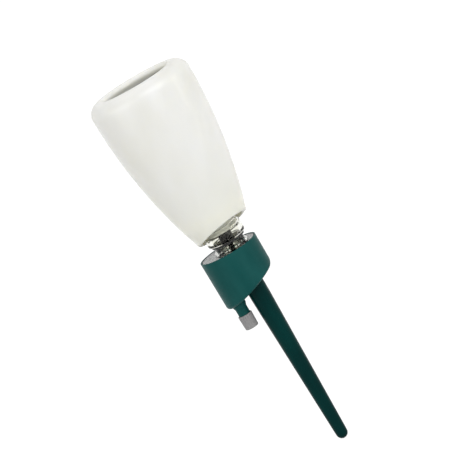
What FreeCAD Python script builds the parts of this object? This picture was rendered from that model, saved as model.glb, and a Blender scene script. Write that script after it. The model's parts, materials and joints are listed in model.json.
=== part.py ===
import FreeCAD, Part
import math
import os
from types import SimpleNamespace

import Sketcher

# A self watering spike. A frosted bottle stands on its neck in a clear cap, whose spout feeds a
# small cup through a spring valve. A grey cap under the cup sets the drip, and a tapered stake
# holds it all in the soil. Heights are measured up from the tip of the stake, and every piece is
# then lowered so that the row's origin lies on the stake's axis at the level of the soil.

LENGTHS = {
    "total_height": 325.0,
    "soil_depth": 100.0,
    "overrun": 1.0,
    # Bottle
    "bottle_diameter": 85.0,
    "bottle_wall": 3.0,
    "heel_radius": 10.0,
    "rest_ring_width": 2.0,
    "lip_reach": 3.0,
    "lip_drop": 4.0,
    "lip_radius": 4.0,
    "recess_depth": 8.5,
    "recess_corner": 3.0,
    "mould_mark_radius": 2.6,
    "mould_mark_height": 0.9,
    "shoulder_rise": 5.5,
    "skirt_depth": 11.5,
    "skirt_room": 8.9,
    "neck_length": 10.7,
    "neck_wall": 2.0,
    "neck_radius": 13.0,
    # Bottle thread
    "bottle_pitch": 4.0,
    "bottle_ridge_height": 1.0,
    "bottle_ridge_root": 1.6,
    "bottle_ridge_crest": 0.8,
    "bottle_ridge_start": 1.7,
    "bottle_ridge_clearance": 0.3,
    "ridge_sink": 0.3,
    # Clear cap
    "cap_wall": 1.7,
    "cap_shoulder_gap": 1.5,
    "cap_ledge_rise": 6.8,
    "cap_floor": 2.0,
    "cap_rounding": 2.0,
    "cap_top_edge": 0.5,
    "cage_seat_width": 1.05,
    "spout_radius": 9.8,
    "spout_wall": 1.8,
    "spout_length": 15.0,
    "seat_depth": 7.0,
    "seat_thickness": 1.5,
    "seat_hole_room": 0.7,
    # Gasket and seal ring
    "gasket_thickness": 1.5,
    "gasket_inset": 0.15,
    "gasket_rounding": 0.3,
    "seal_thickness": 1.5,
    "seal_width": 3.9,
    "seal_rounding": 0.4,
    "spout_clearance": 0.3,
    # Valve
    "valve_lift": 4.0,
    "plunger_radius": 5.65,
    "plunger_height": 10.2,
    "plunger_edge": 0.6,
    "stub_height": 2.8,
    "flute_radius": 1.5,
    "washer_room": 0.9,
    "washer_thickness": 1.5,
    "washer_rounding": 0.3,
    "washer_clearance": 0.1,
    "valve_neck_radius": 2.4,
    "retainer_radius": 3.3,
    "retainer_thickness": 0.8,
    "stem_radius": 2.2,
    "stem_length": 7.2,
    # Spring and its cage
    "spring_wire": 0.7,
    "spring_radius": 4.2,
    "spring_length": 8.8,
    "spring_clearance": 0.03,
    "spring_guide_clearance": 0.65,
    "cage_room": 0.4,
    "cage_edge": 0.6,
    "cage_wall": 1.4,
    "cage_flange": 1.0,
    "cage_roof": 1.5,
    "cage_window_width": 9.0,
    "cage_window_margin": 1.5,
    "cage_boss_height": 1.6,
    "cage_hole_radius": 1.7,
    # Cup
    "cup_mid_height": 141.9,
    "cup_side": 34.6,
    "cup_rim_radius": 24.25,
    "cup_draft": 0.3,
    "cup_offset": 3.5,
    "cup_wall": 2.0,
    "cup_floor": 2.0,
    "cup_low_rounding": 2.6,
    "cup_high_rounding": 7.0,
    "ledge_width": 0.75,
    "tower_height": 14.1,
    "tower_roof": 2.0,
    "tower_wall": 1.9,
    "tower_edge": 1.0,
    "pin_foot": 1.5,
    "pin_radius": 2.2,
    "socket_clearance": 0.1,
    # Lid
    "lid_thickness": 1.8,
    "lid_step": 0.2,
    "lid_clearance": 0.15,
    "lid_lip_rise": 5.0,
    "lid_lip_edge_width": 1.9,
    "lid_lip_edge_height": 1.1,
    "lid_lip_slope_width": 1.5,
    "lid_lip_slope_height": 2.3,
    "lid_lip_foot_width": 1.5,
    "sleeve_wall": 1.2,
    "sleeve_length": 4.5,
    "vent_radius": 1.0,
    "vent_offset": 19.0,
    # Outlet spigot and strainer
    "spigot_offset": 18.0,
    "spigot_radius": 4.83,
    "spigot_flare": 1.0,
    "spigot_flare_drop": 7.9,
    "spigot_flare_height": 3.0,
    "spigot_straight_length": 5.7,
    "spigot_seal_length": 3.0,
    "spigot_seal_step": 0.5,
    "spigot_core_radius": 3.6,
    "spigot_screw_length": 5.8,
    "spigot_bore_radius": 2.0,
    "strainer_radius": 3.2,
    "strainer_length": 14.0,
    "strainer_wall": 0.8,
    "strainer_slot_width": 0.8,
    "strainer_slot_height": 2.4,
    "strainer_roof": 1.0,
    "strainer_clearance": 0.08,
    # Drip regulator
    "regulator_wall": 0.8,
    "regulator_draft": 0.35,
    "regulator_floor": 1.8,
    "regulator_gap": 1.3,
    "regulator_edge": 0.4,
    "regulator_mouth_depth": 2.9,
    "regulator_pitch": 1.5,
    "regulator_ridge_height": 0.5,
    "regulator_ridge_root": 0.62,
    "regulator_ridge_crest": 0.3,
    "regulator_ridge_start": 1.5,
    "regulator_ridge_clearance": 0.3,
    "needle_clearance": 0.08,
    "needle_straight": 2.6,
    "needle_taper": 2.6,
    "needle_tip_radius": 0.4,
    "drip_hole_radius": 0.6,
    "grip_groove_radius": 0.45,
    "grip_margin": 1.3,
    "o_ring_room": 1.0,
    "o_ring_drop": 1.3,
    "o_ring_clearance": 0.08,
    # Stake
    "stake_tip_radius": 4.75,
    "stake_neck_radius": 8.1,
    "stake_neck_drop": 4.9,
    "stake_wall": 1.8,
    "stake_tip_solid": 14.0,
}

ANGLES = {
    "skirt_draft": 17.3,
    "skirt_tilt": 18.4,
    "skirt_turn": -59.2,
    "cup_tilt": 18.8,
    "cup_corner_end": 70,
}

SHARES = {
    "skirt_outer_rounding_share": 0.63,
    "skirt_inner_rounding_share": 0.23,
    "flat_tolerance_share": 1e-6,
}

COUNTS = {
    "start_point": 1,
    "end_point": 2,
    "edge_points": 9,
    "bottle_ridge_turns": 1.4,
    "valve_flutes": 4,
    "spring_turns": 5,
    "spring_points": 48,
    "cage_holes": 4,
    "strainer_slots": 6,
    "regulator_ridge_turns": 2.5,
    "drip_holes": 3,
    "grip_grooves": 18,
}


class Size:
    """A size of the sheet, or one worked out from it: its number and its formula in the sheet."""

    def __init__(self, value, formula):
        self.value = float(value)
        self.formula = formula

    def joined(self, sign, other, value):
        text = other.formula if isinstance(other, Size) else repr(other)
        return Size(value, "({} {} {})".format(self.formula, sign, text))

    def __add__(self, other):
        return self.joined("+", other, self.value + number(other))

    def __sub__(self, other):
        return self.joined("-", other, self.value - number(other))

    def __mul__(self, other):
        return self.joined("*", other, self.value * number(other))

    def __truediv__(self, other):
        return self.joined("/", other, self.value / number(other))

    def __neg__(self):
        return Size(-self.value, "(0 - {})".format(self.formula))


def number(size):
    return size.value if isinstance(size, Size) else float(size)


def root(size):
    return Size(math.sqrt(size.value), "sqrt({})".format(size.formula))


def tangent(angle):
    return Size(math.tan(math.radians(angle.value)), "tan({})".format(angle.formula))


def cosine(angle):
    return Size(math.cos(math.radians(angle.value)), "cos({})".format(angle.formula))


def sine(angle):
    return Size(math.sin(math.radians(angle.value)), "sin({})".format(angle.formula))


ZERO = Size(0, "0")
RIGHT_ANGLE = 90
# The order of an edge's start and end in a sketch, along an outline or against it.
FORWARD = (COUNTS["start_point"], COUNTS["end_point"])
BACKWARD = (COUNTS["end_point"], COUNTS["start_point"])


def make_sheet(doc):
    """Writes every driving dimension into the sheet, and gives them back as named sizes."""
    sheet = doc.addObject("Spreadsheet::Sheet", "Sizes")
    sizes = SimpleNamespace()
    row = 0
    for table in (LENGTHS, ANGLES, SHARES, COUNTS):
        for name, value in table.items():
            row += 1
            sheet.set("A{}".format(row), name.replace("_", " "))
            sheet.set("B{}".format(row), repr(value))
            sheet.setAlias("B{}".format(row), name)
            setattr(sizes, name, Size(value, "Sizes." + name))
    doc.recompute()
    return sizes


def bind(target, name, size):
    """Ties one property of an object to the sheet."""
    target.setExpression(name, size.formula)


def new_body(doc, s, name, across=None, turn=None):
    """A body lowered by the depth of the soil, moved across along X and turned about Z."""
    body = doc.addObject("PartDesign::Body", name)
    body.Label = name
    bind(body, "Placement.Base.z", -s.soil_depth)
    if across is not None:
        bind(body, "Placement.Base.x", across)
    if turn is not None:
        bind(body, "Placement.Rotation.Angle", turn)
    return body


def new_sketch(body, name, plane="XZ_Plane", across=None, up=None):
    """A sketch on one of the body's own planes: across is along X, and up along the normal."""
    sketch = body.newObject("Sketcher::SketchObject", name)
    support = [item for item in body.Origin.OriginFeatures if item.Role == plane][0]
    sketch.AttachmentSupport = [(support, "")]
    sketch.MapMode = "FlatFace"
    if across is not None:
        bind(sketch, "AttachmentOffset.Base.x", across)
    if up is not None:
        bind(sketch, "AttachmentOffset.Base.z", up)
    return sketch


def arc_between(start, end, radius, turn):
    """The arc from start to end that curves left (turn 1) or right (turn -1), and its ends' order."""
    middle = (start + end) * 0.5
    half = (end - start) * 0.5
    reach = math.sqrt(max(radius * radius - half.Length * half.Length, 0))
    side = FreeCAD.Vector(-half.y, half.x, 0)
    side.normalize()
    centre = middle + side * (reach * turn)
    first, last = (start, end) if turn > 0 else (end, start)
    circle = Part.Circle(centre, FreeCAD.Vector(0, 0, 1), radius)
    begin = math.atan2(first.y - centre.y, first.x - centre.x)
    finish = math.atan2(last.y - centre.y, last.x - centre.x)
    return Part.ArcOfCircle(circle, begin, finish)


def hold_point(rules, names, tag, edge, end, x, y):
    """Holds one point of a sketch at x and y from the sketch's origin."""
    if x is ZERO:
        rules.append(Sketcher.Constraint("PointOnObject", edge, end, -2))
    else:
        names[len(rules)] = ("x" + tag, x)
        rules.append(Sketcher.Constraint("DistanceX", -1, 1, edge, end, x.value))
    if y is ZERO:
        rules.append(Sketcher.Constraint("PointOnObject", edge, end, -1))
    else:
        names[len(rules)] = ("y" + tag, y)
        rules.append(Sketcher.Constraint("DistanceY", -1, 1, edge, end, y.value))


def set_rules(sketch, rules, names):
    """Adds the constraints, and ties each one that has a size to the sheet."""
    sketch.addConstraint(rules)
    for index, (name, size) in names.items():
        sketch.renameConstraint(index, name)
        bind(sketch, "Constraints." + name, size)


def draw_outline(sketch, corners):
    """Draws a closed outline. A corner is (x, y), or (x, y, radius, turn) where the edge that
    leaves it is an arc that curves to the left (turn 1) or to the right (turn -1)."""
    places = [FreeCAD.Vector(x.value, y.value, 0) for x, y, *arc in corners]
    shapes = []
    ends = []
    for index, (x, y, *arc) in enumerate(corners):
        start = places[index]
        end = places[(index + 1) % len(places)]
        if arc:
            radius, turn = arc
            shapes.append(arc_between(start, end, radius.value, turn))
            ends.append(FORWARD if turn > 0 else BACKWARD)
        else:
            shapes.append(Part.LineSegment(start, end))
            ends.append(FORWARD)
    sketch.addGeometry(shapes, False)
    rules = []
    names = {}
    for index, (x, y, *arc) in enumerate(corners):
        following = (index + 1) % len(corners)
        first, last = ends[index]
        next_first, next_last = ends[following]
        rules.append(Sketcher.Constraint("Coincident", index, last, following, next_first))
        hold_point(rules, names, str(index), index, first, x, y)
        if arc:
            radius, turn = arc
            names[len(rules)] = ("r" + str(index), radius)
            rules.append(Sketcher.Constraint("Radius", index, radius.value))
    set_rules(sketch, rules, names)


def draw_circle(sketch, x, y, radius):
    place = FreeCAD.Vector(x.value, y.value, 0)
    sketch.addGeometry([Part.Circle(place, FreeCAD.Vector(0, 0, 1), radius.value)], False)
    rules = []
    names = {}
    hold_point(rules, names, "0", 0, 3, x, y)
    names[len(rules)] = ("r0", radius)
    rules.append(Sketcher.Constraint("Radius", 0, radius.value))
    set_rules(sketch, rules, names)


def revolve(body, name, corners, across=None, cut=False):
    """Turns an outline of radii and heights a full turn, to add it or to cut it away."""
    sketch = new_sketch(body, name + "_outline", across=across)
    draw_outline(sketch, corners)
    feature = body.newObject("PartDesign::Groove" if cut else "PartDesign::Revolution", name)
    feature.Profile = sketch
    feature.ReferenceAxis = (sketch, ["V_Axis"])
    feature.Angle = 360.0
    return feature


def cut_below(body, name, half_width, height, tilt, depth):
    """Cuts away all that lies under a plane that rises along X and meets the axis at height."""
    rise = half_width * tangent(tilt)
    sketch = new_sketch(body, name + "_outline")
    draw_outline(sketch, [
        (-half_width, height - rise),
        (half_width, height + rise),
        (half_width, depth),
        (-half_width, depth),
    ])
    pocket = body.newObject("PartDesign::Pocket", name)
    pocket.Profile = sketch
    pocket.SideType = "Symmetric"
    pocket.Type = "Length"
    bind(pocket, "Length", half_width * 2)
    return pocket


def cut_box(body, name, plane, x, y, width, height, length):
    """Cuts a rectangle centred on x, with its foot at y, the same way both sides of the plane."""
    sketch = new_sketch(body, name + "_outline", plane)
    draw_outline(sketch, [
        (x - width / 2, y),
        (x + width / 2, y),
        (x + width / 2, y + height),
        (x - width / 2, y + height),
    ])
    pocket = body.newObject("PartDesign::Pocket", name)
    pocket.Profile = sketch
    pocket.SideType = "Symmetric"
    pocket.Type = "Length"
    bind(pocket, "Length", length)
    return pocket


def drill(body, name, x, radius, low, depth):
    """Cuts a round hole along Z, from the height low up through depth."""
    sketch = new_sketch(body, name + "_outline", "XY_Plane", up=low)
    draw_circle(sketch, x, ZERO, radius)
    pocket = body.newObject("PartDesign::Pocket", name)
    pocket.Profile = sketch
    pocket.Reversed = True
    pocket.Type = "Length"
    bind(pocket, "Length", depth)
    return pocket


def repeat(body, feature, name, count):
    """Repeats a cut evenly round the body's Z axis."""
    axis = [item for item in body.Origin.OriginFeatures if item.Role == "Z_Axis"][0]
    pattern = body.newObject("PartDesign::PolarPattern", name)
    pattern.Originals = [feature]
    pattern.Axis = (axis, [""])
    pattern.Angle = 360.0
    bind(pattern, "Occurrences", count)
    body.Tip = pattern
    return pattern


def coil(body, name, sketch, pitch, turns):
    """Carries a section round a rising right-hand helix about the sketch's vertical axis."""
    helix = body.newObject("PartDesign::AdditiveHelix", name)
    helix.Profile = sketch
    helix.ReferenceAxis = (sketch, ["V_Axis"])
    helix.Mode = "pitch-turns-angle"
    bind(helix, "Pitch", pitch)
    bind(helix, "Turns", turns)
    helix.LeftHanded = False
    helix.Reversed = False
    return helix


def ridge(body, name, wall, crest, height, root_width, crest_width, pitch, turns, across=None):
    """A thread ridge that stands on a wall's radius, sunk into it, and reaches a crest's radius."""
    sketch = new_sketch(body, name + "_outline", across=across)
    draw_outline(sketch, [
        (wall, height - root_width / 2),
        (crest, height - crest_width / 2),
        (crest, height + crest_width / 2),
        (wall, height + root_width / 2),
    ])
    return coil(body, name, sketch, pitch, turns)


def edges_on_slope(s, shape, across, height, tilt):
    """Names the edges that lie wholly in the plane rising along X at tilt, the shortest first."""
    slope = tangent(tilt).value
    near = shape.BoundBox.DiagonalLength * s.flat_tolerance_share.value
    found = []
    for index, edge in enumerate(shape.Edges):
        points = edge.discretize(COUNTS["edge_points"])
        gaps = [abs(point.z - height.value - slope * (point.x - across.value)) for point in points]
        if max(gaps) < near:
            found.append((edge.Length, "Edge{}".format(index + 1)))
    return [name for length, name in sorted(found)]


def make_levels(s):
    """Heights above the stake's tip at which the pieces meet."""
    at = SimpleNamespace()
    at.cup_rim = s.cup_mid_height + s.cup_side
    at.lid_top = at.cup_rim - s.lid_step
    at.lid_seat = at.lid_top - s.lid_thickness
    at.lid_lip = at.cup_rim + s.lid_lip_rise
    at.cap_base = at.lid_lip + s.seal_thickness
    at.cap_ledge = at.cap_base + s.cap_ledge_rise
    at.gasket = at.cap_ledge + s.cage_flange
    at.bottle_lip = at.gasket + s.gasket_thickness
    at.shoulder = at.bottle_lip + s.neck_length
    at.cap_top = at.shoulder - s.cap_shoulder_gap
    at.skirt_mid = at.shoulder - s.skirt_depth
    at.seat = at.cap_base - s.seat_depth
    at.washer = at.seat + s.valve_lift
    at.plunger = at.washer + s.washer_thickness
    at.plunger_top = at.plunger + s.plunger_height
    at.spring_top = at.plunger_top + s.spring_length
    at.retainer = at.washer - s.retainer_thickness
    at.pin_top = at.retainer - s.stem_length
    at.tower_top = s.cup_mid_height + s.tower_height
    at.stake_top = at.tower_top - s.tower_roof
    at.flare = s.cup_mid_height - s.spigot_flare_drop
    at.spigot_straight = at.flare - s.spigot_flare_height
    at.spigot_shoulder = at.spigot_straight - s.spigot_straight_length
    at.spigot_screw = at.spigot_shoulder - s.spigot_seal_length
    at.spigot_end = at.spigot_screw - s.spigot_screw_length
    at.regulator_floor = at.spigot_end - s.regulator_gap
    at.regulator_base = at.regulator_floor - s.regulator_floor
    return at


def make_radii(s):
    """Radii, from each piece's own axis, that more than one piece needs."""
    of = SimpleNamespace()
    of.neck_bore = s.neck_radius - s.neck_wall
    of.cap_bore = s.neck_radius + s.bottle_ridge_height + s.bottle_ridge_clearance
    of.cap = of.cap_bore + s.cap_wall
    of.spout_bore = s.spout_radius - s.spout_wall
    of.lid_bore = s.spout_radius + s.spout_clearance
    of.washer = of.spout_bore - s.washer_room
    of.cage = of.neck_bore - s.cage_room
    of.gasket = s.neck_radius - s.gasket_inset
    of.spring_guide = s.spring_radius - s.spring_wire / 2 - s.spring_guide_clearance
    of.socket = s.stake_neck_radius + s.socket_clearance
    of.cup_inside = s.cup_rim_radius - s.cup_wall
    of.spigot_seal = s.spigot_core_radius + s.spigot_seal_step
    of.regulator_mouth = of.spigot_seal + s.o_ring_room
    of.regulator = of.regulator_mouth + s.regulator_wall
    return of


def make_bottle(doc, s, at, of):
    """A blown bottle stood on its neck: a flank that is one long arc, a recessed base on top, and
    an oblique skirt that hangs round the neck. The skirt leaves room for the cap, and the flank's
    arc leaves the crown upright and meets the skirt: its radius follows from its drop and reach."""
    body = new_body(doc, s, "bottle", turn=s.skirt_turn)
    radius = s.bottle_diameter / 2
    inside = radius - s.bottle_wall
    crown = s.total_height - s.heel_radius
    under = at.shoulder + s.shoulder_rise
    over = under + s.bottle_wall
    skirt_inside = of.cap + s.skirt_room
    skirt_outside = skirt_inside + s.bottle_wall / cosine(s.skirt_draft)
    skirt_end = at.skirt_mid - radius * tangent(s.skirt_tilt)
    skirt_taper = (under - skirt_end) * tangent(s.skirt_draft)
    drop = crown - under
    reach = radius - skirt_outside
    flank = (drop * drop + reach * reach) / (reach * 2)
    inner_flank = flank - s.bottle_wall
    inner_drop = crown - over
    inner_foot = radius - flank + root(inner_flank * inner_flank - inner_drop * inner_drop)
    ring_out = radius - s.heel_radius
    ring_in = ring_out - s.rest_ring_width
    recess = ring_in - s.lip_reach
    recess_floor = s.total_height - s.recess_depth
    revolve(body, "shell", [
        (of.neck_bore, at.shoulder + s.bottle_wall),
        (inner_foot, over, inner_flank, 1),
        (inside, crown, s.heel_radius - s.bottle_wall, 1),
        (ring_out, s.total_height - s.bottle_wall),
        (recess + s.bottle_wall, s.total_height - s.bottle_wall),
        (recess + s.bottle_wall, recess_floor - s.bottle_wall),
        (ZERO, recess_floor - s.bottle_wall),
        (ZERO, recess_floor + s.mould_mark_height),
        (s.mould_mark_radius, recess_floor + s.mould_mark_height),
        (s.mould_mark_radius, recess_floor),
        (recess - s.recess_corner, recess_floor, s.recess_corner, 1),
        (recess, recess_floor + s.recess_corner),
        (recess, s.total_height - s.lip_drop, s.lip_radius, -1),
        (ring_in, s.total_height),
        (ring_out, s.total_height, s.heel_radius, -1),
        (radius, crown, flank, -1),
        (skirt_outside, under),
        (skirt_outside - skirt_taper, skirt_end),
        (skirt_inside - skirt_taper, skirt_end),
        (skirt_inside, under),
        (of.neck_bore, at.shoulder),
    ])
    slope = cut_below(body, "skirt_slope", radius, at.skirt_mid, s.skirt_tilt, skirt_end - s.overrun)
    doc.recompute()
    outer = body.newObject("PartDesign::Fillet", "skirt_outer_edge")
    outer.Base = (slope, [edges_on_slope(s, slope.Shape, ZERO, at.skirt_mid, s.skirt_tilt)[-1]])
    bind(outer, "Radius", s.bottle_wall * s.skirt_outer_rounding_share)
    doc.recompute()
    inner = body.newObject("PartDesign::Fillet", "skirt_inner_edge")
    inner.Base = (outer, [edges_on_slope(s, outer.Shape, ZERO, at.skirt_mid, s.skirt_tilt)[0]])
    bind(inner, "Radius", s.bottle_wall * s.skirt_inner_rounding_share)
    neck_root = at.shoulder + s.bottle_wall / 2
    revolve(body, "neck", [
        (of.neck_bore, at.bottle_lip),
        (s.neck_radius, at.bottle_lip),
        (s.neck_radius, neck_root),
        (of.neck_bore, neck_root),
    ])
    start = at.bottle_lip + s.bottle_ridge_start
    ridge(body, "neck_thread", s.neck_radius - s.ridge_sink, s.neck_radius + s.bottle_ridge_height,
          start, s.bottle_ridge_root, s.bottle_ridge_crest, s.bottle_pitch, s.bottle_ridge_turns)
    return body


def make_bottle_cap(doc, s, at, of):
    """The clear cap: a collar round the neck, a chamber with the valve, and the spout under it."""
    body = new_body(doc, s, "bottle_cap", turn=s.skirt_turn)
    chamber = of.gasket - s.cage_seat_width
    seat_hole = s.retainer_radius + s.seat_hole_room
    seat_under = at.seat - s.seat_thickness
    spout_end = at.cap_base - s.spout_length
    floor = at.cap_base + s.cap_floor
    revolve(body, "shell", [
        (of.cap_bore, at.cap_top),
        (of.cap_bore, at.cap_ledge),
        (chamber, at.cap_ledge),
        (chamber, floor),
        (of.spout_bore, floor),
        (of.spout_bore, at.seat),
        (seat_hole, at.seat),
        (seat_hole, seat_under),
        (of.spout_bore, seat_under),
        (of.spout_bore, spout_end),
        (s.spout_radius, spout_end),
        (s.spout_radius, at.cap_base),
        (of.cap - s.cap_rounding, at.cap_base, s.cap_rounding, 1),
        (of.cap, at.cap_base + s.cap_rounding),
        (of.cap, at.cap_top - s.cap_top_edge),
        (of.cap - s.cap_top_edge, at.cap_top),
    ])
    start = at.bottle_lip + s.bottle_ridge_start - s.bottle_pitch / 2
    ridge(body, "cap_thread", of.cap_bore + s.ridge_sink, s.neck_radius + s.bottle_ridge_clearance,
          start, s.bottle_ridge_root, s.bottle_ridge_crest, s.bottle_pitch, s.bottle_ridge_turns)
    return body


def make_ring(doc, s, name, inner, outer, low, thickness, rounding):
    """A flat rubber ring with rounded edges."""
    body = new_body(doc, s, name)
    high = low + thickness
    revolve(body, "ring", [
        (inner + rounding, low),
        (outer - rounding, low, rounding, 1),
        (outer, low + rounding),
        (outer, high - rounding, rounding, 1),
        (outer - rounding, high),
        (inner + rounding, high, rounding, 1),
        (inner, high - rounding),
        (inner, low + rounding, rounding, 1),
    ])
    return body


def make_plunger(doc, s, at, of):
    """The black valve: a fluted block, a neck for the washer, a retainer and a thin stem."""
    body = new_body(doc, s, "valve_plunger")
    revolve(body, "block", [
        (ZERO, at.pin_top),
        (s.stem_radius, at.pin_top),
        (s.stem_radius, at.retainer),
        (s.retainer_radius, at.retainer),
        (s.retainer_radius, at.washer),
        (s.valve_neck_radius, at.washer),
        (s.valve_neck_radius, at.plunger),
        (s.plunger_radius, at.plunger),
        (s.plunger_radius, at.plunger_top - s.plunger_edge),
        (s.plunger_radius - s.plunger_edge, at.plunger_top),
        (of.spring_guide, at.plunger_top),
        (of.spring_guide, at.plunger_top + s.stub_height),
        (ZERO, at.plunger_top + s.stub_height),
    ])
    flute_foot = at.plunger + s.washer_thickness
    flute = drill(body, "flute", s.plunger_radius + s.flute_radius / 2, s.flute_radius, flute_foot,
                  s.plunger_height)
    repeat(body, flute, "flutes", s.valve_flutes)
    return body


def make_spring(doc, s, at):
    """The valve's spring, one round wire between the plunger and the cage."""
    body = new_body(doc, s, "valve_spring")
    wire = s.spring_wire / 2
    low = at.plunger_top + wire + s.spring_clearance
    high = at.spring_top - wire - s.spring_clearance
    pitch = (high - low) / s.spring_turns
    sketch = new_sketch(body, "wire")
    draw_circle(sketch, s.spring_radius, low, wire)
    coil(body, "turns", sketch, pitch, s.spring_turns)
    measure_spring(s, pitch)
    return body


def measure_spring(s, pitch):
    """Prints the least gap between neighbouring turns, from points along the wire's middle."""
    radius = s.spring_radius.value
    rise = pitch.value
    points = []
    for step in range(COUNTS["spring_points"] * 2):
        turn = 2 * math.pi * step / COUNTS["spring_points"]
        height = rise * step / COUNTS["spring_points"]
        points.append(FreeCAD.Vector(radius * math.cos(turn), radius * math.sin(turn), height))
    first = points[0]
    far = points[COUNTS["spring_points"] // 2:]
    gap = min(first.distanceToPoint(point) for point in far) - s.spring_wire.value
    print("valve_spring least gap", round(gap, 2))


def make_cage(doc, s, at, of):
    """The clear cage over the valve: a flange held under the gasket, a windowed wall and a roof."""
    body = new_body(doc, s, "spring_cage")
    inside = of.cage - s.cage_wall
    roof = at.spring_top + s.cage_roof
    revolve(body, "shell", [
        (inside, at.cap_ledge),
        (of.gasket, at.cap_ledge),
        (of.gasket, at.gasket),
        (of.cage, at.gasket),
        (of.cage, roof - s.cage_edge),
        (of.cage - s.cage_edge, roof),
        (ZERO, roof),
        (ZERO, at.spring_top - s.cage_boss_height),
        (of.spring_guide, at.spring_top - s.cage_boss_height),
        (of.spring_guide, at.spring_top),
        (inside, at.spring_top),
    ])
    window_foot = at.gasket + s.cage_window_margin
    window_height = at.spring_top - s.cage_boss_height - window_foot
    for name, plane in (("front_windows", "XZ_Plane"), ("side_windows", "YZ_Plane")):
        cut_box(body, name, plane, ZERO, window_foot, s.cage_window_width, window_height,
                (of.cage + s.overrun) * 2)
    hole = drill(body, "roof_hole", (of.spring_guide + inside) / 2, s.cage_hole_radius,
                 at.spring_top, s.cage_roof + s.overrun)
    repeat(body, hole, "roof_holes", s.cage_holes)
    return body


def make_stake(doc, s, at):
    """The hollow spike: a round tip, an even taper up to the cup, and a straight plug in it."""
    body = new_body(doc, s, "stake")
    neck = s.cup_mid_height - s.stake_neck_drop
    growth = (s.stake_neck_radius - s.stake_tip_radius) / (neck - s.stake_tip_radius)
    tip_inside = s.stake_tip_radius + (s.stake_tip_solid - s.stake_tip_radius) * growth - s.stake_wall
    revolve(body, "shell", [
        (ZERO, ZERO, s.stake_tip_radius, 1),
        (s.stake_tip_radius, s.stake_tip_radius),
        (s.stake_neck_radius, neck),
        (s.stake_neck_radius, at.stake_top),
        (s.stake_neck_radius - s.stake_wall, at.stake_top),
        (s.stake_neck_radius - s.stake_wall, neck),
        (tip_inside, s.stake_tip_solid),
        (ZERO, s.stake_tip_solid),
    ])
    return body


def cut_bottom(body, s, name, radius, height, rounding, depth):
    """Cuts the cup's oblique bottom, which turns up in an arc into the wall at its high side."""
    rise = radius * tangent(s.cup_tilt)
    setback = rounding * tangent((-s.cup_tilt + RIGHT_ANGLE) / 2)
    arc_x = radius - setback * cosine(s.cup_tilt)
    arc_y = height + rise - setback * sine(s.cup_tilt)
    end_x = arc_x - rounding * sine(s.cup_tilt) + rounding * sine(s.cup_corner_end)
    end_y = arc_y + rounding * cosine(s.cup_tilt) - rounding * cosine(s.cup_corner_end)
    beyond = radius + s.overrun
    low = height - (radius + s.overrun) * tangent(s.cup_tilt)
    sketch = new_sketch(body, name + "_outline", across=-s.cup_offset)
    draw_outline(sketch, [
        (-beyond, low),
        (arc_x, arc_y, rounding, 1),
        (end_x, end_y),
        (beyond, end_y + (beyond - end_x) * tangent(s.cup_corner_end)),
        (beyond, depth),
        (-beyond, depth),
    ])
    pocket = body.newObject("PartDesign::Pocket", name)
    pocket.Profile = sketch
    pocket.SideType = "Symmetric"
    pocket.Type = "Length"
    bind(pocket, "Length", beyond * 2)
    return pocket


def make_cup_hollow(doc, s, at, of):
    """The space inside the cup, with the tower over the stake and its pin left standing in it."""
    body = doc.addObject("PartDesign::Body", "cup_hollow")
    low = s.cup_mid_height - s.cup_rim_radius * tangent(s.cup_tilt) - s.overrun
    high = at.cup_rim + s.overrun
    revolve(body, "space", [
        (ZERO, low),
        (of.cup_inside, low),
        (of.cup_inside, at.lid_seat),
        (of.cup_inside + s.ledge_width, at.lid_seat),
        (of.cup_inside + s.ledge_width, high),
        (ZERO, high),
    ], across=-s.cup_offset)
    floor = s.cup_mid_height + s.cup_floor / cosine(s.cup_tilt)
    cut_bottom(body, s, "floor_slope", of.cup_inside, floor, s.cup_high_rounding - s.cup_wall,
               low - s.overrun)
    tower = of.socket + s.tower_wall
    revolve(body, "tower", [
        (ZERO, low - s.overrun),
        (tower, low - s.overrun),
        (tower, at.tower_top - s.tower_edge),
        (tower - s.tower_edge, at.tower_top),
        (s.pin_radius + s.pin_foot, at.tower_top),
        (s.pin_radius, at.tower_top + s.pin_foot),
        (s.pin_radius, at.pin_top),
        (ZERO, at.pin_top),
    ], cut=True)
    return body


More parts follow.
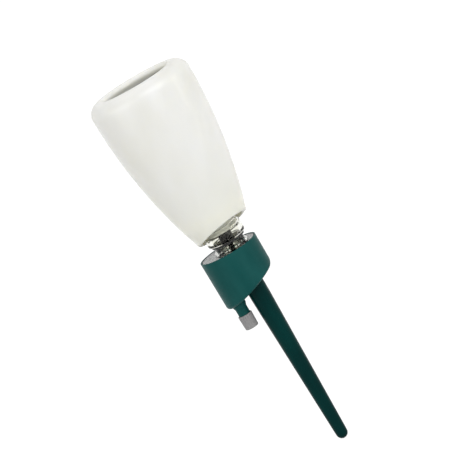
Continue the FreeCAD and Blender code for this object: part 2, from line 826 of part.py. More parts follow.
def make_cup(doc, s, at, of):
    """The green cup: an oblique bottom, a socket for the stake and a spigot at its lowest side."""
    body = new_body(doc, s, "cup")
    low = s.cup_mid_height - s.cup_rim_radius * tangent(s.cup_tilt) - s.overrun
    revolve(body, "block", [
        (ZERO, low),
        (s.cup_rim_radius - s.cup_draft, low),
        (s.cup_rim_radius, at.cup_rim),
        (ZERO, at.cup_rim),
    ], across=-s.cup_offset)
    slope = cut_bottom(body, s, "bottom_slope", s.cup_rim_radius, s.cup_mid_height, s.cup_high_rounding,
                       low - s.overrun)
    doc.recompute()
    bottom = edges_on_slope(s, slope.Shape, -s.cup_offset, s.cup_mid_height, s.cup_tilt)[-1]
    rounding = body.newObject("PartDesign::Fillet", "bottom_edge")
    rounding.Base = (slope, [bottom])
    bind(rounding, "Radius", s.cup_low_rounding)
    flare = s.spigot_radius + s.spigot_flare
    revolve(body, "spigot", [
        (ZERO, at.spigot_end),
        (s.spigot_core_radius, at.spigot_end),
        (s.spigot_core_radius, at.spigot_screw),
        (of.spigot_seal, at.spigot_screw),
        (of.spigot_seal, at.spigot_shoulder),
        (s.spigot_radius, at.spigot_shoulder),
        (s.spigot_radius, at.spigot_straight),
        (flare, at.flare),
        (flare, s.cup_mid_height),
        (ZERO, s.cup_mid_height),
    ], across=-s.spigot_offset)
    hollow = make_cup_hollow(doc, s, at, of)
    doc.recompute()
    emptied = body.newObject("PartDesign::Boolean", "emptied")
    emptied.Type = "Cut"
    emptied.addObject(hollow)
    body.Tip = emptied
    socket_low = s.cup_mid_height - s.cup_side
    revolve(body, "socket", [
        (ZERO, socket_low),
        (of.socket, socket_low),
        (of.socket, at.stake_top),
        (ZERO, at.stake_top),
    ], cut=True)
    revolve(body, "outlet", [
        (ZERO, at.spigot_end - s.overrun),
        (s.spigot_bore_radius, at.spigot_end - s.overrun),
        (s.spigot_bore_radius, at.spigot_straight),
        (s.strainer_radius, at.spigot_straight),
        (s.strainer_radius, s.cup_mid_height),
        (ZERO, s.cup_mid_height),
    ], across=-s.spigot_offset, cut=True)
    ridge(body, "spigot_thread", s.spigot_core_radius - s.ridge_sink,
          s.spigot_core_radius + s.regulator_ridge_height, at.spigot_end + s.regulator_ridge_start,
          s.regulator_ridge_root, s.regulator_ridge_crest, s.regulator_pitch, s.regulator_ridge_turns,
          across=-s.spigot_offset)
    return body


def make_lid(doc, s, at, of):
    """The clear lid: a disc in the cup's rim, with a flared lip over it and a sleeve under it."""
    body = new_body(doc, s, "cup_lid")
    sketch = new_sketch(body, "disc_outline", "XY_Plane", up=at.lid_seat)
    draw_circle(sketch, -s.cup_offset, ZERO, of.cup_inside + s.ledge_width - s.lid_clearance)
    disc = body.newObject("PartDesign::Pad", "disc")
    disc.Profile = sketch
    bind(disc, "Length", s.lid_thickness)
    edge = of.lid_bore + s.lid_lip_edge_width
    slope = edge + s.lid_lip_slope_width
    edge_low = at.lid_lip - s.lid_lip_edge_height
    slope_low = edge_low - s.lid_lip_slope_height
    sleeve = of.lid_bore + s.sleeve_wall
    revolve(body, "funnel", [
        (ZERO, at.lid_seat - s.sleeve_length),
        (sleeve, at.lid_seat - s.sleeve_length),
        (sleeve, at.lid_seat),
        (slope + s.lid_lip_foot_width, at.lid_seat),
        (slope + s.lid_lip_foot_width, at.lid_top),
        (slope, slope_low),
        (edge, edge_low),
        (edge, at.lid_lip),
        (ZERO, at.lid_lip),
    ])
    low = at.lid_seat - s.sleeve_length - s.overrun
    vent_length = s.lid_thickness + s.overrun * 2
    drill(body, "bore", ZERO, of.lid_bore, low, at.lid_lip + s.overrun - low)
    drill(body, "vent", -s.vent_offset, s.vent_radius, at.lid_seat - s.overrun, vent_length)
    return body


def make_strainer(doc, s, at):
    """A slotted thimble that stands in the spigot's mouth."""
    body = new_body(doc, s, "outlet_strainer", across=-s.spigot_offset)
    outside = s.strainer_radius - s.strainer_clearance
    inside = outside - s.strainer_wall
    top = at.spigot_straight + s.strainer_length
    revolve(body, "shell", [
        (inside, at.spigot_straight),
        (outside, at.spigot_straight),
        (outside, top - s.strainer_roof, s.strainer_roof, 1),
        (outside - s.strainer_roof, top),
        (ZERO, top),
        (ZERO, top - s.strainer_roof),
        (inside, top - s.strainer_roof),
    ])
    sketch = new_sketch(body, "slot_outline")
    slot_top = top - s.strainer_roof - s.strainer_wall
    half = s.strainer_slot_width / 2
    draw_outline(sketch, [
        (-half, slot_top - s.strainer_slot_height),
        (half, slot_top - s.strainer_slot_height),
        (half, slot_top),
        (-half, slot_top),
    ])
    slot = body.newObject("PartDesign::Pocket", "slot")
    slot.Profile = sketch
    slot.Type = "Length"
    bind(slot, "Length", s.strainer_radius)
    repeat(body, slot, "slots", s.strainer_slots)
    return body


def make_regulator(doc, s, at, of):
    """The grey cap: a ribbed grip, a mouth for the ring, a thread, and a needle over drip holes."""
    body = new_body(doc, s, "regulator_cap", across=-s.spigot_offset)
    foot = of.regulator - s.regulator_draft
    bore = s.spigot_core_radius + s.regulator_ridge_height + s.regulator_ridge_clearance
    mouth = at.spigot_shoulder - s.regulator_mouth_depth
    needle = s.spigot_bore_radius - s.needle_clearance
    needle_shoulder = at.regulator_floor + s.needle_straight
    edge = s.regulator_edge
    revolve(body, "shell", [
        (ZERO, at.regulator_base),
        (foot - edge, at.regulator_base),
        (foot, at.regulator_base + edge),
        (of.regulator, at.spigot_shoulder - edge),
        (of.regulator - edge, at.spigot_shoulder),
        (of.regulator_mouth, at.spigot_shoulder),
        (of.regulator_mouth, mouth),
        (bore, mouth),
        (bore, at.regulator_floor),
        (needle, at.regulator_floor),
        (needle, needle_shoulder),
        (s.needle_tip_radius, needle_shoulder + s.needle_taper),
        (ZERO, needle_shoulder + s.needle_taper),
    ])
    start = at.spigot_end + s.regulator_ridge_start - s.regulator_pitch / 2
    ridge(body, "cap_thread", bore + s.ridge_sink, s.spigot_core_radius + s.regulator_ridge_clearance,
          start, s.regulator_ridge_root, s.regulator_ridge_crest, s.regulator_pitch,
          s.regulator_ridge_turns)
    hole = drill(body, "drip_hole", (needle + bore) / 2, s.drip_hole_radius,
                 at.regulator_base - s.overrun, s.regulator_floor + s.overrun * 2)
    repeat(body, hole, "drip_ring", s.drip_holes)
    groove_low = at.regulator_base + s.grip_margin
    groove = drill(body, "grip_groove", of.regulator, s.grip_groove_radius, groove_low,
                   at.spigot_shoulder - s.grip_margin - groove_low)
    repeat(body, groove, "grip", s.grip_grooves)
    return body


def make_o_ring(doc, s, at, of):
    """The ring that seals the grey cap's mouth on the spigot."""
    body = new_body(doc, s, "regulator_seal", across=-s.spigot_offset)
    inner = of.spigot_seal + s.o_ring_clearance
    outer = of.regulator_mouth - s.o_ring_clearance
    sketch = new_sketch(body, "section")
    draw_circle(sketch, (inner + outer) / 2, at.spigot_shoulder - s.o_ring_drop, (outer - inner) / 2)
    ring = body.newObject("PartDesign::Revolution", "ring")
    ring.Profile = sketch
    ring.ReferenceAxis = (sketch, ["V_Axis"])
    ring.Angle = 360.0
    return body


def make_pieces(doc, s):
    at = make_levels(s)
    of = make_radii(s)
    pieces = [
        make_bottle(doc, s, at, of),
        make_bottle_cap(doc, s, at, of),
        make_ring(doc, s, "cap_gasket", of.neck_bore + s.gasket_inset, of.gasket, at.gasket,
                  s.gasket_thickness, s.gasket_rounding),
        make_plunger(doc, s, at, of),
        make_ring(doc, s, "valve_washer", s.valve_neck_radius + s.washer_clearance, of.washer,
                  at.washer, s.washer_thickness, s.washer_rounding),
        make_spring(doc, s, at),
        make_cage(doc, s, at, of),
        make_ring(doc, s, "seal_ring", of.lid_bore, of.lid_bore + s.seal_width, at.lid_lip,
                  s.seal_thickness, s.seal_rounding),
        make_cup(doc, s, at, of),
        make_lid(doc, s, at, of),
        make_strainer(doc, s, at),
        make_regulator(doc, s, at, of),
        make_o_ring(doc, s, at, of),
        make_stake(doc, s, at),
    ]
    return pieces


def check(doc, pieces):
    """Stops if any object of the document failed, or any piece is empty or not valid."""
    for item in doc.Objects:
        if "Invalid" in item.State or "Error" in item.State:
            raise RuntimeError("{} failed: {}".format(item.Name, item.State))
    for piece in pieces:
        shape = piece.Shape
        if shape.isNull() or not shape.isValid() or not shape.Solids:
            raise RuntimeError("{} has no valid solid".format(piece.Label))


def main():
    doc = FreeCAD.newDocument("SelfWateringSpike")
    sizes = make_sheet(doc)
    pieces = make_pieces(doc, sizes)
    doc.recompute()
    check(doc, pieces)
    os.makedirs("parts", exist_ok=True)
    for piece in pieces:
        piece.Shape.exportStep(os.path.join("parts", piece.Label + ".step"))
        print(piece.Label, len(piece.Shape.Solids), round(piece.Shape.Volume, 1))


main()
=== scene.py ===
import json
import math

import bpy
import numpy as np
from mathutils import Matrix, Vector


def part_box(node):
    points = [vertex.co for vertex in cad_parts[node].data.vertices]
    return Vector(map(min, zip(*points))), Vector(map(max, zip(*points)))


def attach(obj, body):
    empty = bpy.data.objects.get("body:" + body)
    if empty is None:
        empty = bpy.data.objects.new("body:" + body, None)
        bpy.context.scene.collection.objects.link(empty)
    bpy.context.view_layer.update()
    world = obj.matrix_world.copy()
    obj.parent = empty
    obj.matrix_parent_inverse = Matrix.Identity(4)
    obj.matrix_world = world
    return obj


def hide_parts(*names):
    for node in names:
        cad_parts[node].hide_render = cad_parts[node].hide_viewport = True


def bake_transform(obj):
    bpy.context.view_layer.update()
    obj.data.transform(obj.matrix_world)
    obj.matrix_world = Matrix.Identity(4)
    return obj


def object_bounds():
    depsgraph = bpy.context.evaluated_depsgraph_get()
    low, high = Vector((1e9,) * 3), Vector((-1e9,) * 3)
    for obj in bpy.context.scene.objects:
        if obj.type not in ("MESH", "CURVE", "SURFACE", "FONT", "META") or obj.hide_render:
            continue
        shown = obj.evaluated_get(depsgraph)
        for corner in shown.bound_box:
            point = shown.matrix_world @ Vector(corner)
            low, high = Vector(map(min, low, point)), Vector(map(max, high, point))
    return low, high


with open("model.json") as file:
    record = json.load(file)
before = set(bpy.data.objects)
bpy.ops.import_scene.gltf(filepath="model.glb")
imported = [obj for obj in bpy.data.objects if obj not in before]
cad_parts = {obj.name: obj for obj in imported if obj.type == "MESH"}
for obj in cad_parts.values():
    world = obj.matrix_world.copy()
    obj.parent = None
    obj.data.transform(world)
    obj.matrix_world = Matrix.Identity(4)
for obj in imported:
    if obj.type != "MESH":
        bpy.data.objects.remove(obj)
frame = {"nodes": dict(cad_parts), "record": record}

# Looks for a self watering spike: a frosted bottle on a clear cap, a small green cup with a grey
# drip regulator, and a dark green stake. Sizes are in metres.
MM = 0.001
cad_low, cad_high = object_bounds()
nodes = frame["nodes"]

# The radius and depth of the recess in the bottle's base, and the radius of the mark at its middle
RECESS = 27.5 * MM
RECESS_DEPTH = 8.5 * MM
MARK = 2.6 * MM

# The angles at which the two halves of a mould meet
SEAMS = (0.0, math.pi)


# Meshes worked out on grids

def unit(vectors):
    """Each vector divided by its own length."""
    return vectors / np.linalg.norm(vectors, axis=-1, keepdims=True)


def point(radius, height, columns):
    """One point of a section, the same or its own for every column: radius, then height."""
    return np.stack(np.broadcast_arrays(radius, height, np.zeros(columns))[:2], -1)


def run(first, last, count):
    """Evenly spaced numbers from first to last, one row for each, a column for each angle."""
    share = np.linspace(0, 1, count)[:, None]
    return first + (last - first) * share


def rounded(before, corner, after, radius, steps=8):
    """The arc that rounds a corner: its centre lies on the corner's bisector at radius over the
    sine of half the corner's angle, and the points turn evenly about it."""
    toward = unit(before - corner)
    onward = unit(after - corner)
    half = np.arccos(np.clip((toward * onward).sum(-1), -1, 1)) / 2
    centre = corner + unit(toward + onward) * (radius / np.sin(half))[..., None]
    first = corner + toward * (radius / np.tan(half))[..., None] - centre
    last = corner + onward * (radius / np.tan(half))[..., None] - centre
    sweep = math.pi - 2 * half
    share = np.linspace(0, 1, steps)[:, None]
    ahead = (np.sin(share * sweep) / np.sin(sweep))[..., None]
    behind = (np.sin((1 - share) * sweep) / np.sin(sweep))[..., None]
    return centre + first * behind + last * ahead


def section(corners, columns):
    """A section as rows of points: each corner (radius, height, rounding) is rounded, and each
    array of rows in the list is taken as it is."""
    def place(item):
        return item if isinstance(item, np.ndarray) else point(item[0], item[1], columns)[None]

    rows = [place(item) for item in corners]
    out = []
    for index, item in enumerate(corners):
        if isinstance(item, np.ndarray) or item[2] == 0:
            out.append(rows[index])
        else:
            before = rows[index - 1][-1]
            after = rows[(index + 1) % len(rows)][0]
            out.append(rounded(before, rows[index][0], after, item[2]))
    return np.concatenate(out)


def mesh_piece(name, points, faces, slot):
    """A smooth piece of the object from its points and faces, in a slot's material."""
    mesh = bpy.data.meshes.new(name)
    mesh.from_pydata(points.tolist(), [], faces)
    mesh.polygons.foreach_set("use_smooth", np.ones(len(mesh.polygons), bool))
    mesh.materials.append(materials[slot])
    piece = bpy.data.objects.new(name, mesh)
    bpy.context.scene.collection.objects.link(piece)
    piece.modifiers.new("weighted_normals", "WEIGHTED_NORMAL")
    return piece


def quads_between(rows, columns):
    """The corners of each face between neighbouring rows of a grid whose columns close round."""
    here = np.arange(columns)
    beside = (here + 1) % columns
    start = np.arange(rows - 1)[:, None] * columns
    corners = [start + here, start + beside, start + columns + beside, start + columns + here]
    return np.stack(corners, -1).reshape(-1, 4)


def turned(name, rows, angles, slot):
    """Turns a section round the Z axis: x is radius times cosine, y radius times sine. The section
    starts and ends on the axis, where its first and last rows close to one point each."""
    columns = len(angles)
    radius, height = rows[1:-1, :, 0], rows[1:-1, :, 1]
    grid = np.stack([radius * np.cos(angles), radius * np.sin(angles), height], -1)
    poles = [[0, 0, rows[end, 0, 1]] for end in (0, -1)]
    points = np.concatenate([grid.reshape(-1, 3), poles])
    count = len(grid)
    here = np.arange(columns)
    beside = (here + 1) % columns
    quads = quads_between(count, columns)[:, [0, 3, 2, 1]]
    first, last = count * columns, count * columns + 1
    start_fan = np.stack([np.full(columns, first), here, beside], -1)
    end = (count - 1) * columns
    end_fan = np.stack([np.full(columns, last), end + beside, end + here], -1)
    faces = quads.tolist() + start_fan.tolist() + end_fan.tolist()
    return mesh_piece(name, points, faces, slot)


def swept(name, rings, slot):
    """A closed skin over rings of points that follow each other, with a flat face on each end."""
    count, ring = rings.shape[:2]
    here = np.arange(ring)
    last = (count - 1) * ring
    ends = [here[::-1].tolist(), (last + here).tolist()]
    faces = quads_between(count, ring).tolist() + ends
    return mesh_piece(name, rings.reshape(-1, 3), faces, slot)


def seamed_angles(count, width):
    """Angles all round, with more of them beside each mould seam."""
    around = np.linspace(0, 2 * math.pi, count, endpoint=False)
    beside = np.linspace(-2, 2, 9) * width
    close = (np.array(SEAMS)[:, None] + beside).ravel() % (2 * math.pi)
    apart = np.abs((around[:, None] - close + math.pi) % (2 * math.pi) - math.pi).min(1) > width
    return np.sort(np.concatenate([around[apart], close]))


def seam_ridge(angles, width):
    """How much of a mould seam's height each angle has: e to the power of minus the square of the
    angle from the seam over its width."""
    apart = (angles[:, None] - np.array(SEAMS) + math.pi) % (2 * math.pi) - math.pi
    return np.exp(-((apart / width) ** 2)).sum(1)


# Materials

def linear(red, green, blue):
    """A colour seen on a screen, 0 to 255, as the shader takes it."""
    seen = np.array([red, green, blue]) / 255
    level = np.where(seen < 0.04045, seen / 12.92, ((seen + 0.055) / 1.055) ** 2.4)
    return (*level.tolist(), 1.0)


def plastic(name, colour, roughness, **sockets):
    """A material with a Principled shader, whose other sockets are set by name."""
    material = bpy.data.materials.new(name)
    material.use_nodes = True
    shader = material.node_tree.nodes["Principled BSDF"]
    shader.inputs["Base Color"].default_value = colour
    shader.inputs["Roughness"].default_value = roughness
    for socket, value in sockets.items():
        shader.inputs[socket.replace("_", " ")].default_value = value
    return material


def add_node(material, kind, **settings):
    """A new node in the material, with its settings."""
    node = material.node_tree.nodes.new(kind)
    for name, value in settings.items():
        setattr(node, name, value)
    return node


def link(material, source, target):
    """Joins an output to an input."""
    material.node_tree.links.new(source, target)


def noise(material, scale, detail=3.0, shares=(1, 1, 1)):
    """Noise on Object coordinates: scale is in turns to the metre, and each axis takes its share."""
    place = add_node(material, "ShaderNodeTexCoord")
    mapping = add_node(material, "ShaderNodeMapping")
    mapping.inputs["Scale"].default_value = shares
    texture = add_node(material, "ShaderNodeTexNoise")
    texture.inputs["Scale"].default_value = scale
    texture.inputs["Detail"].default_value = detail
    link(material, place.outputs["Object"], mapping.inputs["Vector"])
    link(material, mapping.outputs["Vector"], texture.inputs["Vector"])
    return texture.outputs["Fac"]


def ramp(material, source, stops):
    """Colours along a number from 0 to 1."""
    node = add_node(material, "ShaderNodeValToRGB")
    elements = node.color_ramp.elements
    while len(elements) < len(stops):
        elements.new(0.5)
    for element, (position, colour) in zip(elements, stops):
        element.position = position
        element.color = colour
    link(material, source, node.inputs["Fac"])
    return node.outputs["Color"]


def spread_between(material, source, low, high, first, last):
    """Maps a number from low..high to first..last."""
    node = add_node(material, "ShaderNodeMapRange")
    node.inputs["From Min"].default_value = low
    node.inputs["From Max"].default_value = high
    node.inputs["To Min"].default_value = first
    node.inputs["To Max"].default_value = last
    link(material, source, node.inputs["Value"])
    return node.outputs["Result"]


def mixed(material, share, first, last):
    """Mixes two colours by a share. Each of the three is a value or a socket."""
    node = add_node(material, "ShaderNodeMix", data_type="RGBA")
    for socket, value in ((node.inputs[0], share), (node.inputs[6], first), (node.inputs[7], last)):
        if isinstance(value, bpy.types.NodeSocket):
            link(material, value, socket)
        else:
            socket.default_value = value
    return node.outputs[2]


def height_of(material):
    """The height of each point above the object's origin, in metres."""
    place = add_node(material, "ShaderNodeTexCoord")
    split = add_node(material, "ShaderNodeSeparateXYZ")
    link(material, place.outputs["Object"], split.inputs["Vector"])
    return split.outputs["Z"]


def distance_from_axis(material):
    """How far each point lies from the object's Z axis, in metres."""
    place = add_node(material, "ShaderNodeTexCoord")
    flat = add_node(material, "ShaderNodeVectorMath", operation="MULTIPLY")
    flat.inputs[1].default_value = (1, 1, 0)
    length = add_node(material, "ShaderNodeVectorMath", operation="LENGTH")
    link(material, place.outputs["Object"], flat.inputs[0])
    link(material, flat.outputs["Vector"], length.inputs[0])
    return length.outputs["Value"]


def product(material, first, second):
    """One number times another."""
    node = add_node(material, "ShaderNodeMath", operation="MULTIPLY")
    link(material, first, node.inputs[0])
    link(material, second, node.inputs[1])
    return node.outputs[0]


def colour_from(material, source):
    """Takes the surface's colour from a socket."""
    link(material, source, material.node_tree.nodes["Principled BSDF"].inputs["Base Color"])


def rough_from(material, source, low, high):
    """Roughness from low to high, as a noise goes over its usual range."""
    level = spread_between(material, source, 0.3, 0.7, low, high)
    link(material, level, material.node_tree.nodes["Principled BSDF"].inputs["Roughness"])


def bump_from(material, source, depth, strength):
    """Raises the surface by a number, depth metres for one, and stands on any bump before it."""
    shader = material.node_tree.nodes["Principled BSDF"]
    node = add_node(material, "ShaderNodeBump")
    node.inputs["Strength"].default_value = strength
    node.inputs["Distance"].default_value = depth
    link(material, source, node.inputs["Height"])
    before = shader.inputs["Normal"].links
    if before:
        link(material, before[0].from_socket, node.inputs["Normal"])
    link(material, node.outputs["Normal"], shader.inputs["Normal"])


def recess_shade_and_mark(material):
    """Two masks: one for the shade painted into the recess of the bottle's base, and one on the round
    mark at its middle, which is coloured darker still. Both fall to nothing outside them: products of
    steps in height and in distance from the axis."""
    height, out = height_of(material), distance_from_axis(material)
    rim = cad_high.z
    floor = rim - RECESS_DEPTH
    under_rim = spread_between(material, height, rim - 5 * MM, rim - 1.5 * MM, 1, 0)
    over_floor = spread_between(material, height, floor - 1.5 * MM, floor - 0.5 * MM, 0, 1)
    inside_wall = spread_between(material, out, RECESS - 0.5 * MM, RECESS + 0.8 * MM, 1, 0)
    on_mark = spread_between(material, out, MARK - 0.3 * MM, MARK + 0.4 * MM, 1, 0)
    recess = product(material, product(material, under_rim, over_floor), inside_wall)
    return recess, product(material, recess, on_mark)


def frosted_plastic():
    """Milky blown plastic with a fine satin grain. Shade is painted into its colour: it grows darker
    and creamier towards the cap, and grey in the recess of the base.
    """
    material = plastic("frosted_bottle", linear(233, 232, 226), 0.42, IOR=1.5,
                       Subsurface_Weight=0.75, Subsurface_Scale=0.012,
                       Subsurface_Radius=(1.0, 0.95, 0.8), Coat_Weight=0.35, Coat_Roughness=0.2)
    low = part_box("bottle")[0].z
    rise = spread_between(material, height_of(material), low, cad_high.z, 0, 1)
    # Painted shade: the colour grows darker and creamier from the top down to the cap, where less
    # light comes through the plastic.
    tone_and_shade = ramp(material, rise, [
        (0.0, linear(221, 220, 203)),
        (0.2, linear(230, 229, 215)),
        (0.5, linear(235, 233, 223)),
        (1.0, linear(235, 233, 224)),
    ])
    cloud = spread_between(material, noise(material, 24, 2.0, (1, 1, 0.45)), 0.35, 0.7, 0, 0.55)
    tone_and_shade = mixed(material, cloud, tone_and_shade, linear(219, 217, 200))
    recess, mark = recess_shade_and_mark(material)
    # Painted shade: the recess of the base is mixed towards grey, and the mark at its middle is
    # coloured darker still.
    tone_and_shade = mixed(material, recess, tone_and_shade, linear(122, 122, 116))
    tone_and_shade = mixed(material, mark, tone_and_shade, linear(70, 70, 67))
    colour_from(material, tone_and_shade)
    rough_from(material, noise(material, 160), 0.38, 0.48)
    bump_from(material, noise(material, 2600, 2.0), 0.00003, 0.35)
    bump_from(material, noise(material, 45, 1.0, (1, 1, 0.3)), 0.0004, 0.12)
    return material


def clear_plastic(name, colour, roughness):
    """Clear moulded plastic with a faint tint and slow waves in its surface."""
    material = plastic(name, colour, roughness, IOR=1.22, Transmission_Weight=1.0)
    bump_from(material, noise(material, 90, 1.0), 0.0003, 0.15)
    return material


def moulded_plastic(name, colour, paler, roughness, gloss):
    """Opaque moulded plastic: faint flow clouds, satin grain and an uneven gloss."""
    material = plastic(name, colour, roughness, IOR=1.46, Specular_IOR_Level=gloss)
    cloud = spread_between(material, noise(material, 60, 3.0, (1, 1, 0.4)), 0.35, 0.65, 0, 1)
    colour_from(material, mixed(material, cloud, colour, paler))
    rough_from(material, noise(material, 220), roughness - 0.05, roughness + 0.07)
    bump_from(material, noise(material, 3200, 2.0), 0.00003, 0.3)
    bump_from(material, noise(material, 70, 1.0), 0.0003, 0.1)
    return material


def rubber(name, colour, roughness):
    """Moulded rubber: a fine grain, an uneven dullness and a little sheen."""
    material = plastic(name, colour, roughness, IOR=1.5, Sheen_Weight=0.15, Sheen_Roughness=0.5)
    rough_from(material, noise(material, 400), roughness - 0.08, roughness + 0.08)
    bump_from(material, noise(material, 2000, 3.0), 0.00005, 0.4)
    return material


def steel():
    """Drawn spring wire, bright and slightly uneven."""
    material = plastic("spring_steel", linear(190, 190, 188), 0.28, Metallic=1.0)
    rough_from(material, noise(material, 900), 0.2, 0.35)
    return material


materials = {
    "frosted_bottle": frosted_plastic(),
    "clear_cap": clear_plastic("clear_cap", linear(244, 244, 237), 0.07),
    "clear_lid": clear_plastic("clear_lid", linear(243, 244, 240), 0.16),
    "pale_silicone": rubber("pale_silicone", linear(214, 214, 206), 0.5),
    "black_valve": moulded_plastic("black_valve", linear(4, 4, 5), linear(10, 10, 11), 0.3, 0.3),
    "black_rubber": rubber("black_rubber", linear(14, 14, 15), 0.55),
    "spring_steel": steel(),
    "teal_cup": moulded_plastic("teal_cup", linear(4, 64, 62), linear(16, 72, 70), 0.42, 0.1),
    "teal_stake": moulded_plastic("teal_stake", linear(0, 37, 36), linear(0, 46, 44), 0.26, 0.05),
    "grey_cap": moulded_plastic("grey_cap", linear(132, 131, 131), linear(143, 141, 142), 0.45, 0.3),
}
for row in frame["record"]["subparts"]:
    node = nodes[row["node"]]
    node.data.materials.clear()
    node.data.materials.append(materials[row["material_slot"]])


# Bottle, valve spring and stake

def make_bottle():
    """The blown bottle, its base up. The flank is one arc that leaves the crown upright, with its
    radius worked out from its drop and its reach, and a straight cone below that. The skirt ends in
    a slanting plane, and the neck hangs inside it."""
    low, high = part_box("bottle")
    radius = (high.x - low.x) / 2
    crown = high.z - 10 * MM
    wall = 3 * MM
    neck, bore = 13 * MM, 11 * MM
    floor = high.z - RECESS_DEPTH
    mark_top = floor + 0.9 * MM
    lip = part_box("cap_gasket")[1].z
    shoulder = lip + 10.7 * MM
    under = shoulder + 5.5 * MM
    skirt_mid = shoulder - 11.5 * MM
    draft, tilt, rising = math.radians(17.3), math.radians(18.4), math.radians(-59.2)
    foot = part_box("bottle_cap")[1].x + 8.9 * MM + wall / math.cos(draft)
    arc = ((crown - under) ** 2 + (radius - foot) ** 2) / (2 * (radius - foot))
    seam_width, seam_height = 0.006, 0.12 * MM
    angles = seamed_angles(240, seam_width)
    columns = len(angles)
    slope = math.tan(tilt) * np.cos(angles - rising)

    def flank(height, depth=0.0):
        """The radius at a height, on the surface or at a depth inside it."""
        curved = radius - arc + np.sqrt((arc - depth) ** 2 - (crown - height) ** 2)
        straight = foot - depth / math.cos(draft) - (under - height) * math.tan(draft)
        return np.where(height > under, curved, straight)

    def cut(depth):
        """Where the slanting plane meets the flank at that depth, found by repeated steps."""
        height = np.full(columns, skirt_mid)
        for _ in range(8):
            height = skirt_mid + flank(height, depth) * slope
        return flank(height, depth), height

    def flank_rows(first, last, count, depth=0.0):
        """Rows of points down or up the flank."""
        height = run(first, last, count) + np.zeros(columns)
        return np.stack([flank(height, depth), height], -1)

    end_out, end_in = cut(0.0), cut(wall)
    neck_root = shoulder + (under - shoulder) * (neck - bore) / (flank(under, wall) - bore)
    rows = section([
        (0, mark_top, 0),
        (MARK, mark_top, 0.4 * MM),
        (MARK, floor, 0.4 * MM),
        (RECESS, floor, 3 * MM),
        (RECESS, high.z, 3.6 * MM),
        (radius, high.z, high.z - crown),
        flank_rows(crown - 1.3 * MM, end_out[1] + 4 * MM, 90),
        (*end_out, 1.9 * MM),
        (*end_in, 0.7 * MM),
        flank_rows(end_in[1] + 3 * MM, under - 3 * MM, 14, wall),
        (flank(under, wall), under, 1.5 * MM),
        (neck, neck_root, 0.8 * MM),
        (neck, lip, 0.35 * MM),
        (bore, lip, 0.35 * MM),
        (bore, shoulder + wall, 1.5 * MM),
        (flank(under + wall, wall), under + wall, 3 * MM),
        flank_rows(under + wall + 4 * MM, crown, 40, wall),
        (radius - wall, high.z - wall, 6 * MM),
        (RECESS + wall, high.z - wall, 2 * MM),
        (RECESS + wall, floor - wall, 3 * MM),
        (0, floor - wall, 0),
    ], columns)
    outside = np.abs(rows[:, :, 0] - flank(np.minimum(rows[:, :, 1], crown))) < 0.5 * MM
    rows[:, :, 0] += outside * seam_height * seam_ridge(angles, seam_width)
    shell = turned("bottle_shell", rows, angles, "frosted_bottle")
    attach(shell, "bottle_body")
    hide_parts("bottle")
    thread = make_thread(wall=neck, height=lip + 1.7 * MM, start=rising)
    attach(thread, "bottle_body")


def make_thread(wall, height, start):
    """A right-hand screw ridge carried up a helix about the Z axis. Its section is a cosine cut off
    flat at its top. It fades in and out as a sine over its first and last eighth of a turn, and its
    foot and back lie inside the wall."""
    depth, pitch, turns = 1.0 * MM, 4 * MM, 1.4
    half_width, foot_depth, back_depth = 0.95 * MM, 0.3 * MM, 0.6 * MM
    around = np.linspace(0, 2 * math.pi * turns, int(96 * turns))
    across = np.linspace(-1, 1, 13)
    fade = np.clip(np.minimum(around, around[-1] - around) / (math.pi / 4), 0, 1)
    fade = np.sin(fade * math.pi / 2)
    bell = np.clip(1.7 * np.cos(across * math.pi / 2), 0, 1)
    reach = wall - foot_depth + (depth + foot_depth) * bell * fade[:, None]
    back = np.full((len(around), 1), wall - back_depth)
    radius = np.concatenate([reach, back, back], 1)
    rise = np.concatenate([across, [1.0, -1.0]]) * half_width
    level = height + pitch * around[:, None] / (2 * math.pi) + rise
    turn = start + around[:, None]
    rings = np.stack([radius * np.cos(turn), radius * np.sin(turn), level], -1)
    return swept("neck_thread", rings, "frosted_bottle")


def make_spring():
    """The valve's spring: a round wire up a helix, whose radius has the wire's times a cosine added
    and whose height has the wire's times a sine. It stretches between the plunger and the cap."""
    low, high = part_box("valve_spring")
    wire, turns = 0.35 * MM, 5
    radius = (high.x - low.x) / 2 - wire
    foot, head = low.z + wire, high.z - wire
    around = np.linspace(0, 2 * math.pi * turns, 60 * turns)[:, None]
    about_wire = np.linspace(0, 2 * math.pi, 16, endpoint=False)
    out = radius + wire * np.cos(about_wire)
    level = foot + (head - foot) * around / around[-1] + wire * np.sin(about_wire)
    rings = np.stack([out * np.cos(around), out * np.sin(around), level], -1)
    coil = swept("spring_coil", rings, "spring_steel")
    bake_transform(coil)
    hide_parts("valve_spring")


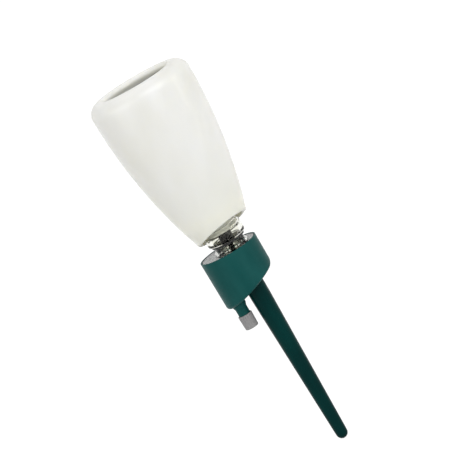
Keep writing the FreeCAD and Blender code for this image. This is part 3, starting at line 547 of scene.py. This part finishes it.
def make_stake():
    """The hollow spike: half a ball at the tip, where the radius is the ball's times a sine, then a
    straight taper to the cup and a plug in it. Two mould seams run down it and fade at its ends."""
    low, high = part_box("stake")
    tip, plug, wall = 4.75 * MM, (high.x - low.x) / 2, 1.8 * MM
    neck, solid = low.z + 137 * MM, low.z + 14 * MM
    seam_width, seam_height = 0.07, 0.1 * MM
    angles = seamed_angles(96, seam_width)
    columns = len(angles)

    def taper(height):
        """The radius at a height, along a straight line from the ball to the plug."""
        return tip + (plug - tip) * (height - low.z - tip) / (neck - low.z - tip)

    turn = run(0.08, math.pi / 2, 14) + np.zeros(columns)
    ball = np.stack([tip * np.sin(turn), low.z + tip * (1 - np.cos(turn))], -1)
    height = run(low.z + tip, neck - 1 * MM, 70)[1:] + np.zeros(columns)
    side = np.stack([taper(height), height], -1)
    rows = section([
        (0, low.z, 0),
        ball,
        side,
        (plug, neck, 0),
        (plug, high.z, 0.3 * MM),
        (plug - wall, high.z, 0.3 * MM),
        (plug - wall, neck, 0),
        (taper(solid) - wall, solid, 0.6 * MM),
        (0, solid, 0),
    ], columns)
    count = 1 + len(ball) + len(side)
    outside = rows[:count, :, 1]
    from_tip = np.clip((outside - low.z - 2 * MM) / (6 * MM), 0, 1)
    to_neck = np.clip((neck - outside) / (5 * MM), 0, 1)
    rows[:count, :, 0] += from_tip * to_neck * seam_height * seam_ridge(angles, seam_width)
    shell = turned("stake_shell", rows, angles, "teal_stake")
    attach(shell, "cup_body")
    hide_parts("stake")


make_bottle()
make_spring()
make_stake()


# Stage, lights and camera

def any_ray(tree):
    """One for a ray from the camera, off a glossy surface or through a clear one, else nothing."""
    rays = tree.nodes.new("ShaderNodeLightPath")
    seen = rays.outputs["Is Camera Ray"]
    for other in ("Is Glossy Ray", "Is Transmission Ray"):
        most = tree.nodes.new("ShaderNodeMath")
        most.operation = "MAXIMUM"
        tree.links.new(seen, most.inputs[0])
        tree.links.new(rays.outputs[other], most.inputs[1])
        seen = most.outputs[0]
    return seen


def make_stage():
    """A pale floor under the stake's tip. The camera sees it white, with the object's shadow."""
    reach, low = 6.0, cad_low.z
    mesh = bpy.data.meshes.new("floor")
    corners = [(-reach, -reach, low), (reach, -reach, low), (reach, reach, low), (-reach, reach, low)]
    mesh.from_pydata(corners, [], [(0, 1, 2, 3)])
    floor = bpy.data.objects.new("floor", mesh)
    bpy.context.scene.collection.objects.link(floor)
    material = plastic("floor", (0.8, 0.8, 0.8, 1), 0.9)
    tree = material.node_tree
    shader = tree.nodes["Principled BSDF"]
    glow = add_node(material, "ShaderNodeEmission")
    glow.inputs["Color"].default_value = (1, 1, 1, 1)
    glow.inputs["Strength"].default_value = 1.2
    seen = any_ray(tree)
    share = add_node(material, "ShaderNodeMath", operation="MULTIPLY")
    share.inputs[1].default_value = 0.8
    link(material, seen, share.inputs[0])
    mix = add_node(material, "ShaderNodeMixShader")
    link(material, share.outputs[0], mix.inputs["Fac"])
    link(material, shader.outputs["BSDF"], mix.inputs[1])
    link(material, glow.outputs["Emission"], mix.inputs[2])
    link(material, mix.outputs["Shader"], tree.nodes["Material Output"].inputs["Surface"])
    mesh.materials.append(material)


def make_world():
    """White where it is seen, reflected or seen through; a plain level of light elsewhere."""
    world = bpy.data.worlds.new("studio")
    bpy.context.scene.world = world
    world.use_nodes = True
    tree = world.node_tree
    background = tree.nodes["Background"]
    background.inputs["Color"].default_value = (1, 1, 1, 1)
    level = tree.nodes.new("ShaderNodeMapRange")
    level.inputs["To Min"].default_value = 0.6
    level.inputs["To Max"].default_value = 1.0
    tree.links.new(any_ray(tree), level.inputs["Value"])
    tree.links.new(level.outputs["Result"], background.inputs["Strength"])


def make_lamp(name, place, width, power, height=None):
    """A soft lamp that faces the middle of the object, square unless it is given a height."""
    middle = Vector((0, 0, 0.08))
    lamp = bpy.data.lights.new(name, "AREA")
    lamp.energy = power
    lamp.shape = "RECTANGLE"
    lamp.size = width
    lamp.size_y = height or width
    item = bpy.data.objects.new(name, lamp)
    item.location = place
    item.rotation_mode = "QUATERNION"
    item.rotation_quaternion = (middle - Vector(place)).to_track_quat("-Z", "Y")
    bpy.context.scene.collection.objects.link(item)


def make_camera():
    """A long lens, 10 degrees above the horizon, rolled so that the bottle leans to the left."""
    aim = Vector((6.7 * MM, 0, 82.7 * MM))
    elevation, roll = math.radians(10), math.radians(-30.6)
    distance = 2.4
    photo_width, pixels_per_mm = 470, 1.2949
    width = photo_width / pixels_per_mm * MM
    back = Vector((0, -math.cos(elevation), math.sin(elevation)))
    camera = bpy.data.cameras.new("camera")
    camera.sensor_width = 36
    camera.lens = camera.sensor_width * distance / width
    camera.clip_start, camera.clip_end = 0.05, 50
    item = bpy.data.objects.new("camera", camera)
    turn = (-back).to_track_quat("-Z", "Y").to_matrix() @ Matrix.Rotation(roll, 3, "Z")
    item.matrix_world = Matrix.Translation(aim + back * distance) @ turn.to_4x4()
    bpy.context.scene.collection.objects.link(item)
    bpy.context.scene.camera = item


make_stage()
make_world()
make_lamp("key", (0.8, -1.2, 0.9), width=0.8, power=8.7)
make_lamp("fill", (-1.2, -0.9, 0.5), width=1.0, power=7.5)
make_lamp("edge", (1.35, -0.3, 0.15), width=0.16, power=4, height=1.3)
make_lamp("top", (0, 0.2, 1.6), width=1.2, power=4)
make_lamp("streak", (0.6, -1.5, 0.3), width=0.14, power=3.5, height=1.5)
make_camera()
bpy.context.scene.view_settings.view_transform = "Standard"
